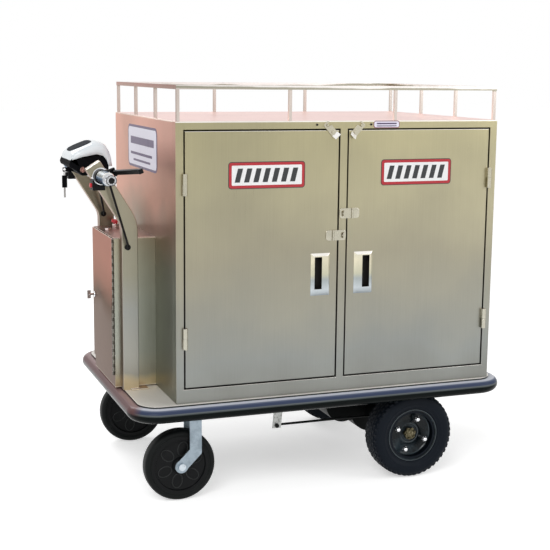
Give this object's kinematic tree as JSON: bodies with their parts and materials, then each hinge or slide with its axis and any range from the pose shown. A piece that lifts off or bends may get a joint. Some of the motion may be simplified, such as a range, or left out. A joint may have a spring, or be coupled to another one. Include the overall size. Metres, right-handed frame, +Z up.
{
  "type": "motorized food delivery cart",
  "caption": "Powered walk-behind cart: steel cabinet with hinged doors and gallery rail on a bumpered deck, battery box, handlebar controls, swivel casters and drive wheels.",
  "frame": {"origin": "on the floor under the middle of the overall box", "axes": "+X along the cart away from the operator's handle, cabinet doors face -Y, +Z up"},
  "size_m": [1.2346, 0.764, 1.135],
  "materials": {
    "stainless": "brushed sheet",
    "fittings": "bright plated steel",
    "chrome": "polished chrome",
    "bumper_black": "glossy black cover",
    "chassis_black": "black paint",
    "zinc": "zinc plate",
    "black_plastic": "fine grain",
    "cable_rubber": "smooth jacket",
    "controller_alloy": "cast fins",
    "pale_shell": "moulded shell",
    "display": "dark window",
    "red": "moulded red",
    "plates": "bare plate",
    "tyre": "black rubber"
  },
  "bodies": {
    "cart": {"axle_housing": "chassis_black", "bar_controls": "black_plastic", "batteries": "black_plastic", "box_shell": "stainless", "box_top_fittings": "chrome", "bumper_tube": "bumper_black", "cabinet_interior": "stainless", "cabinet_shell": "stainless", "caster_plates": "zinc", "chassis_frame": "chassis_black", "column_cables": "cable_rubber", "deck_plate": "stainless", "drive_motor": "chassis_black", "fixed_grip": "chrome", "frame_hardware": "fittings", "front_frame": "stainless", "gallery_rail": "stainless", "handlebar": "chrome", "head_base": "black_plastic", "head_cover": "pale_shell", "head_display": "display", "label_plates": "plates", "motor_controller": "controller_alloy", "stay_rod": "chassis_black", "stay_strap": "zinc", "uprights": "stainless"},
    "door_left_leaf": {"door_left": "stainless", "pull_left": "chrome", "sign_left": "plates", "door_left_fittings": "fittings"},
    "door_right_leaf": {"door_right": "stainless", "pull_right": "chrome", "sign_right": "plates", "door_right_fittings": "fittings"},
    "latch_left_plate": {"latch_left": "fittings"},
    "latch_right_plate": {"latch_right": "fittings"},
    "hasp_left_leaf": {"hasp_left": "fittings"},
    "hasp_right_leaf": {"hasp_right": "fittings"},
    "box_lid": {"box_door": "stainless"},
    "box_lock": {"box_knob": "chrome"},
    "stop_button": {"estop_button": "red"},
    "throttle": {"throttle_grip": "chrome"},
    "lever_front": {"brake_lever_front": "black_plastic"},
    "lever_rear": {"brake_lever_rear": "black_plastic"},
    "button_front": {"pod_button_front": "red"},
    "button_rear": {"pod_button_rear": "black_plastic"},
    "ignition": {"lock_barrel": "chrome"},
    "key": {"hanging_key": "black_plastic"},
    "swivel_front": {"caster_fork_front": "zinc"},
    "swivel_rear": {"caster_fork_rear": "zinc"},
    "roller_front": {"caster_wheel_front": "black_plastic", "caster_tyre_front": "tyre"},
    "roller_rear": {"caster_wheel_rear": "black_plastic", "caster_tyre_rear": "tyre"},
    "drive_front": {"drive_tyre_front": "tyre", "drive_rim_front": "chassis_black", "drive_nuts_front": "chrome"},
    "drive_rear": {"drive_tyre_rear": "tyre", "drive_rim_rear": "chassis_black", "drive_nuts_rear": "chrome"}
  },
  "joints": [
    {"name": "door_left_swing", "type": "hinge", "parent": "cart", "child": "door_left_leaf", "pos_m": [-0.36123, -0.3518, 0.665], "axis": [0, 0, -1], "range_deg": [0, 170]},
    {"name": "latch_left_turn", "type": "hinge", "parent": "door_left_leaf", "child": "latch_left_plate", "pos_m": [0.05727, -0.345, 1.011], "axis": [0, -1, 0], "range_deg": [0, 100]},
    {"name": "hasp_left_swing", "type": "hinge", "parent": "door_left_leaf", "child": "hasp_left_leaf", "pos_m": [0.06227, -0.3483, 0.729], "axis": [0, 0, -1], "range_deg": [0, 130]},
    {"name": "door_right_swing", "type": "hinge", "parent": "cart", "child": "door_right_leaf", "pos_m": [0.54177, -0.3518, 0.665], "axis": [0, 0, 1], "range_deg": [0, 170]},
    {"name": "latch_right_turn", "type": "hinge", "parent": "door_right_leaf", "child": "latch_right_plate", "pos_m": [0.12327, -0.345, 1.011], "axis": [0, 1, 0], "range_deg": [0, 100]},
    {"name": "hasp_right_swing", "type": "hinge", "parent": "door_right_leaf", "child": "hasp_right_leaf", "pos_m": [0.11827, -0.3483, 0.789], "axis": [0, 0, 1], "range_deg": [0, 130]},
    {"name": "box_lid_swing", "type": "hinge", "parent": "cart", "child": "box_lid", "pos_m": [-0.50773, -0.1345, 0.52], "axis": [0, 0, 1], "range_deg": [0, 120]},
    {"name": "box_lock_turn", "type": "hinge", "parent": "box_lid", "child": "box_lock", "pos_m": [-0.50673, 0.109, 0.515], "axis": [-1, 0, 0], "range_deg": [0, 90]},
    {"name": "stop_button_press", "type": "slide", "parent": "cart", "child": "stop_button", "axis": [0, 0, -1], "range_m": [0, 0.004], "stiffness_N_per_m": 1500, "springref_m": -0.002},
    {"name": "throttle_twist", "type": "hinge", "parent": "cart", "child": "throttle", "pos_m": [-0.54428, -0.238, 0.88914], "axis": [0, -1, 0], "range_deg": [0, 60], "stiffness_Nm_per_rad": 0.6, "springref_deg": -11.46},
    {"name": "lever_front_squeeze", "type": "hinge", "parent": "cart", "child": "lever_front", "pos_m": [-0.51421, -0.1865, 0.90008], "axis": [0.342, 0, -0.9397], "range_deg": [0, 18], "stiffness_Nm_per_rad": 3, "springref_deg": -5.73},
    {"name": "button_front_press", "type": "slide", "parent": "cart", "child": "button_front", "axis": [1, 0, 0], "range_m": [0, 0.003], "stiffness_N_per_m": 600, "springref_m": -0.001},
    {"name": "lever_rear_squeeze", "type": "hinge", "parent": "cart", "child": "lever_rear", "pos_m": [-0.51421, 0.1865, 0.90008], "axis": [-0.342, 0, 0.9397], "range_deg": [0, 18], "stiffness_Nm_per_rad": 3, "springref_deg": -5.73},
    {"name": "button_rear_press", "type": "slide", "parent": "cart", "child": "button_rear", "axis": [1, 0, 0], "range_m": [0, 0.003], "stiffness_N_per_m": 600, "springref_m": -0.001},
    {"name": "ignition_turn", "type": "hinge", "parent": "cart", "child": "ignition", "pos_m": [-0.57328, -0.075, 0.90014], "axis": [0, 1, 0], "range_deg": [0, 60]},
    {"name": "key_swing", "type": "hinge", "parent": "cart", "child": "key", "pos_m": [-0.61028, 0, 0.89514], "axis": [0, 1, 0], "range_deg": [-20, 20]},
    {"name": "swivel_front_turn", "type": "hinge", "parent": "cart", "child": "swivel_front", "pos_m": [-0.32073, -0.28, 0.2], "axis": [0, 0, 1], "continuous": true},
    {"name": "roller_front_spin", "type": "hinge", "parent": "swivel_front", "child": "roller_front", "pos_m": [-0.36073, -0.28, 0.1], "axis": [0, 1, 0], "continuous": true},
    {"name": "drive_front_spin", "type": "hinge", "parent": "cart", "child": "drive_front", "pos_m": [0.33327, -0.3, 0.127], "axis": [0, 1, 0], "continuous": true},
    {"name": "swivel_rear_turn", "type": "hinge", "parent": "cart", "child": "swivel_rear", "pos_m": [-0.32073, 0.28, 0.2], "axis": [0, 0, 1], "continuous": true},
    {"name": "roller_rear_spin", "type": "hinge", "parent": "swivel_rear", "child": "roller_rear", "pos_m": [-0.36073, 0.28, 0.1], "axis": [0, 1, 0], "continuous": true},
    {"name": "drive_rear_spin", "type": "hinge", "parent": "cart", "child": "drive_rear", "pos_m": [0.33327, 0.3, 0.127], "axis": [0, 1, 0], "continuous": true}
  ]
}
